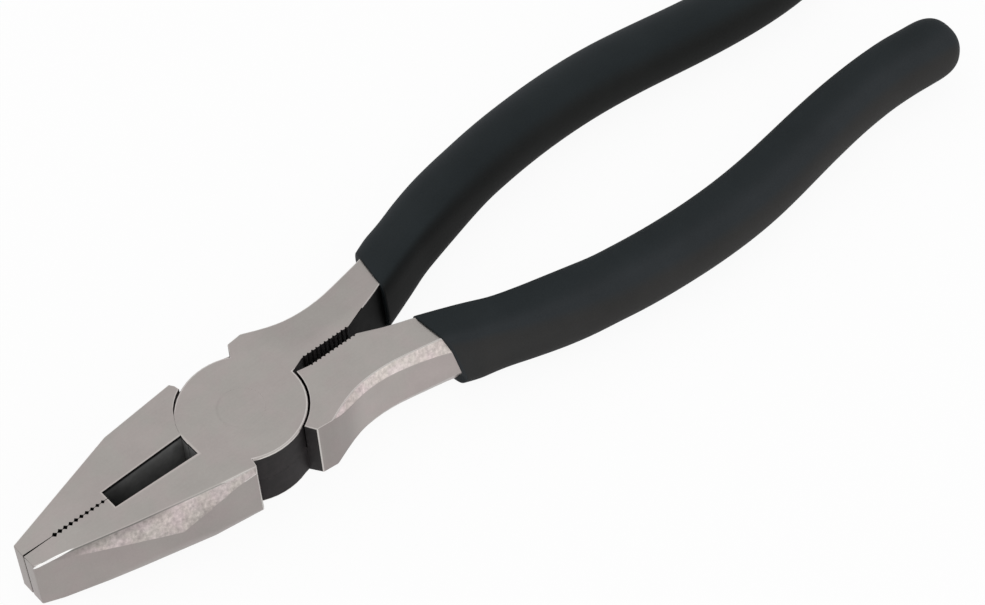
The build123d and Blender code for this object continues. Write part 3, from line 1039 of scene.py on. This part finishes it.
class PLIERS_OT_grips(bpy.types.Operator):
    """Make both dipped grips: smooth sleeves swept along the handles"""

    bl_idname = "pliers.grips"
    bl_label = "Dipped Grips"

    def execute(self, context):
        settings = context.scene.pliers_grip
        material = grip_material("Dipped grip", settings)
        group = sleeve_tree()
        for body, node in GRIPS.items():
            make_sleeve(body, node, group, material, settings)
        return {"FINISHED"}


def grip_material(name, settings):
    """Matte dip with a fine pebbled skin, with painted light and shade by which way it faces,
    darkest towards the other handle.
    """
    material, tree = new_material(name)
    place = tree.place()
    facing = tree.axes(tree.node("ShaderNodeTexCoord", output="Normal"))[1]
    outward = facing * tree.axes(place)[1].maths("SIGN")
    pebble = settings.pebble
    cells = {"Vector": place, "Scale": 1.0 / pebble, "Smoothness": 0.6, "Randomness": 1.0}
    pebbles = tree.node("ShaderNodeTexVoronoi", {"feature": "SMOOTH_F1"}, cells, "Distance")
    fine = tree.noise(place, 2.4 / pebble)
    patches = tree.noise(place, GRIP_PATCHES, 3.0, 0.6)
    # painted shade on the inner flank, paler away from the lip; lit colours on the upper side,
    # shoulder and outer flank
    paler = tuple(c * 2.1 for c in settings.inner)
    inner = tree.mix(spread(tree, place, x=INNER_PALES), rgba(settings.inner), rgba(paler))
    painted = tree.mix(outward.ramp(*TO_TOP), inner, rgba(settings.top))
    painted = tree.mix(outward.ramp(*TO_SHOULDER), painted, rgba(settings.shoulder))
    painted = tree.mix(outward.ramp(*TO_OUTER), painted, rgba(settings.outer))
    painted = toned(tree, painted, (patches - 0.5) * 0.5 + (fine - 0.5) * 0.35 + 1.0)
    rough = patches * 0.1 + (settings.roughness - 0.05)
    bump = (0.75 * (1 - pebbles) + fine * 0.25, 0.28, COARSE_BUMP)
    skin_material(tree, painted, rough, bump, {"Specular IOR Level": 0.06})
    return material


# ---------------- stage
WHITE = (1.0, 1.0, 1.0, 1.0)
FLOOR_HALF = 3.0
TOP_SOFTBOX = ((0.25, 0.35, 0.75), 0.7, 0.7)  # place from the tool's middle, width and height
FRONT_SOFTBOX = ((-0.05, -0.8, 0.12), 0.9, 0.35)


def softbox(name, target, form, watts):
    """Area light of a form, turned to a target."""
    offset, width, height = form
    light = bpy.data.lights.new(name, "AREA")
    light.shape = "RECTANGLE"
    light.size, light.size_y = width, height
    light.energy = watts
    lamp = add_object(name, light)
    lamp.location = target + Vector(offset)
    lamp.rotation_mode = "QUATERNION"
    lamp.rotation_quaternion = (-Vector(offset)).to_track_quat("-Z", "Y")


def floor_material(settings):
    """White paper: plain white to the camera and in reflections, less the tool's soft shadow."""
    material, tree = new_material("Paper")
    path = tree.node("ShaderNodeLightPath", output="Is Camera Ray")
    seen = path + tree.other(path, "Is Glossy Ray") + tree.other(path, "Is Transmission Ray")
    paper = tree.node("ShaderNodeBsdfDiffuse", None, {"Color": rgba(settings.paper)})
    white = tree.node("ShaderNodeEmission", None, {"Color": WHITE, "Strength": 1.0})
    factor = seen.clamped() * settings.glow
    finish_material(tree, tree.node("ShaderNodeMixShader", None, {0: factor, 1: paper, 2: white}))
    return material


def make_floor(settings):
    """Square sheet of paper, level with the tool's lowest point."""
    corners = [
        (FLOOR_HALF * x, FLOOR_HALF * y, CAD_BOX[0].z)
        for x, y in ((-1, -1), (1, -1), (1, 1), (-1, 1))
    ]
    mesh = bpy.data.meshes.new("floor")
    mesh.from_pydata(corners, [], [(0, 1, 2, 3)])
    mesh.materials.append(floor_material(settings))
    floor = add_object("floor", mesh)


def make_world(settings):
    """Plain surroundings: white to the camera, a little lower as light."""
    world = bpy.data.worlds.new("Surroundings")
    bpy.context.scene.world = world
    world.use_nodes = True
    world.node_tree.nodes.clear()
    tree = Tree(world.node_tree)
    camera = tree.node("ShaderNodeLightPath", output="Is Camera Ray")
    strength = camera * (1.0 - settings.world) + settings.world
    sky = tree.node("ShaderNodeBackground", None, {"Color": WHITE, "Strength": strength})
    tree.node("ShaderNodeOutputWorld", None, {"Surface": sky})


def make_camera(settings):
    """Camera that looks past the origin from an azimuth and an elevation, rolled a little."""
    azimuth, elevation, roll = settings.azimuth, settings.elevation, settings.roll
    flat = math.cos(elevation)
    back = Vector((math.sin(azimuth) * flat, -math.cos(azimuth) * flat, math.sin(elevation)))
    level = Vector((math.cos(azimuth), math.sin(azimuth), 0.0))
    lift = back.cross(level)
    right = level * math.cos(roll) + lift * math.sin(roll)
    up = lift * math.cos(roll) - level * math.sin(roll)
    camera = add_object("camera", bpy.data.cameras.new("camera"))
    camera.data.lens = settings.lens
    place = right * settings.aside + up * settings.above + back * settings.distance
    turned = Matrix((right, up, back)).transposed().to_4x4()
    camera.matrix_world = Matrix.Translation(place) @ turned
    bpy.context.scene.camera = camera


class PLIERS_OT_stage(bpy.types.Operator):
    """Make the pale floor, the surroundings, two softboxes and the camera"""

    bl_idname = "pliers.stage"
    bl_label = "Studio"

    def execute(self, context):
        settings = context.scene.pliers_stage
        middle = (CAD_BOX[0] + CAD_BOX[1]) / 2
        make_floor(settings)
        make_world(settings)
        softbox("top_softbox", middle, TOP_SOFTBOX, settings.top_light)
        softbox("front_softbox", middle, FRONT_SOFTBOX, settings.front_light)
        make_camera(settings)
        context.scene.view_settings.view_transform = "Standard"
        return {"FINISHED"}


# ---------------- add-on
class PLIERS_PT_panel(bpy.types.Panel):
    """Lists the pieces and the studio"""

    bl_label = "Combination Pliers"
    bl_idname = "PLIERS_PT_panel"
    bl_space_type = "VIEW_3D"
    bl_region_type = "UI"
    bl_category = "Pliers"

    def draw(self, context):
        for operator in OPERATORS:
            self.layout.operator(operator.bl_idname)
        for group in GROUPS:
            settings = getattr(context.scene, group)
            box = self.layout.box()
            for name in settings.bl_rna.properties.keys():
                if name not in {"name", "rna_type"}:
                    box.prop(settings, name)


GROUPS = {"pliers_steel": SteelSettings, "pliers_grip": GripSettings, "pliers_stage": StageSettings}
OPERATORS = (PLIERS_OT_halves, PLIERS_OT_rivet, PLIERS_OT_grips, PLIERS_OT_stage)
CLASSES = (*GROUPS.values(), *OPERATORS, PLIERS_PT_panel)


def register():
    for cls in CLASSES:
        bpy.utils.register_class(cls)
    for name, group in GROUPS.items():
        setattr(bpy.types.Scene, name, PointerProperty(type=group))


def unregister():
    for name in GROUPS:
        delattr(bpy.types.Scene, name)
    for cls in reversed(CLASSES):
        bpy.utils.unregister_class(cls)


def main():
    register()
    bpy.ops.pliers.halves()
    bpy.ops.pliers.rivet()
    bpy.ops.pliers.grips()
    bpy.ops.pliers.stage()


if __name__ == "__main__":
    main()
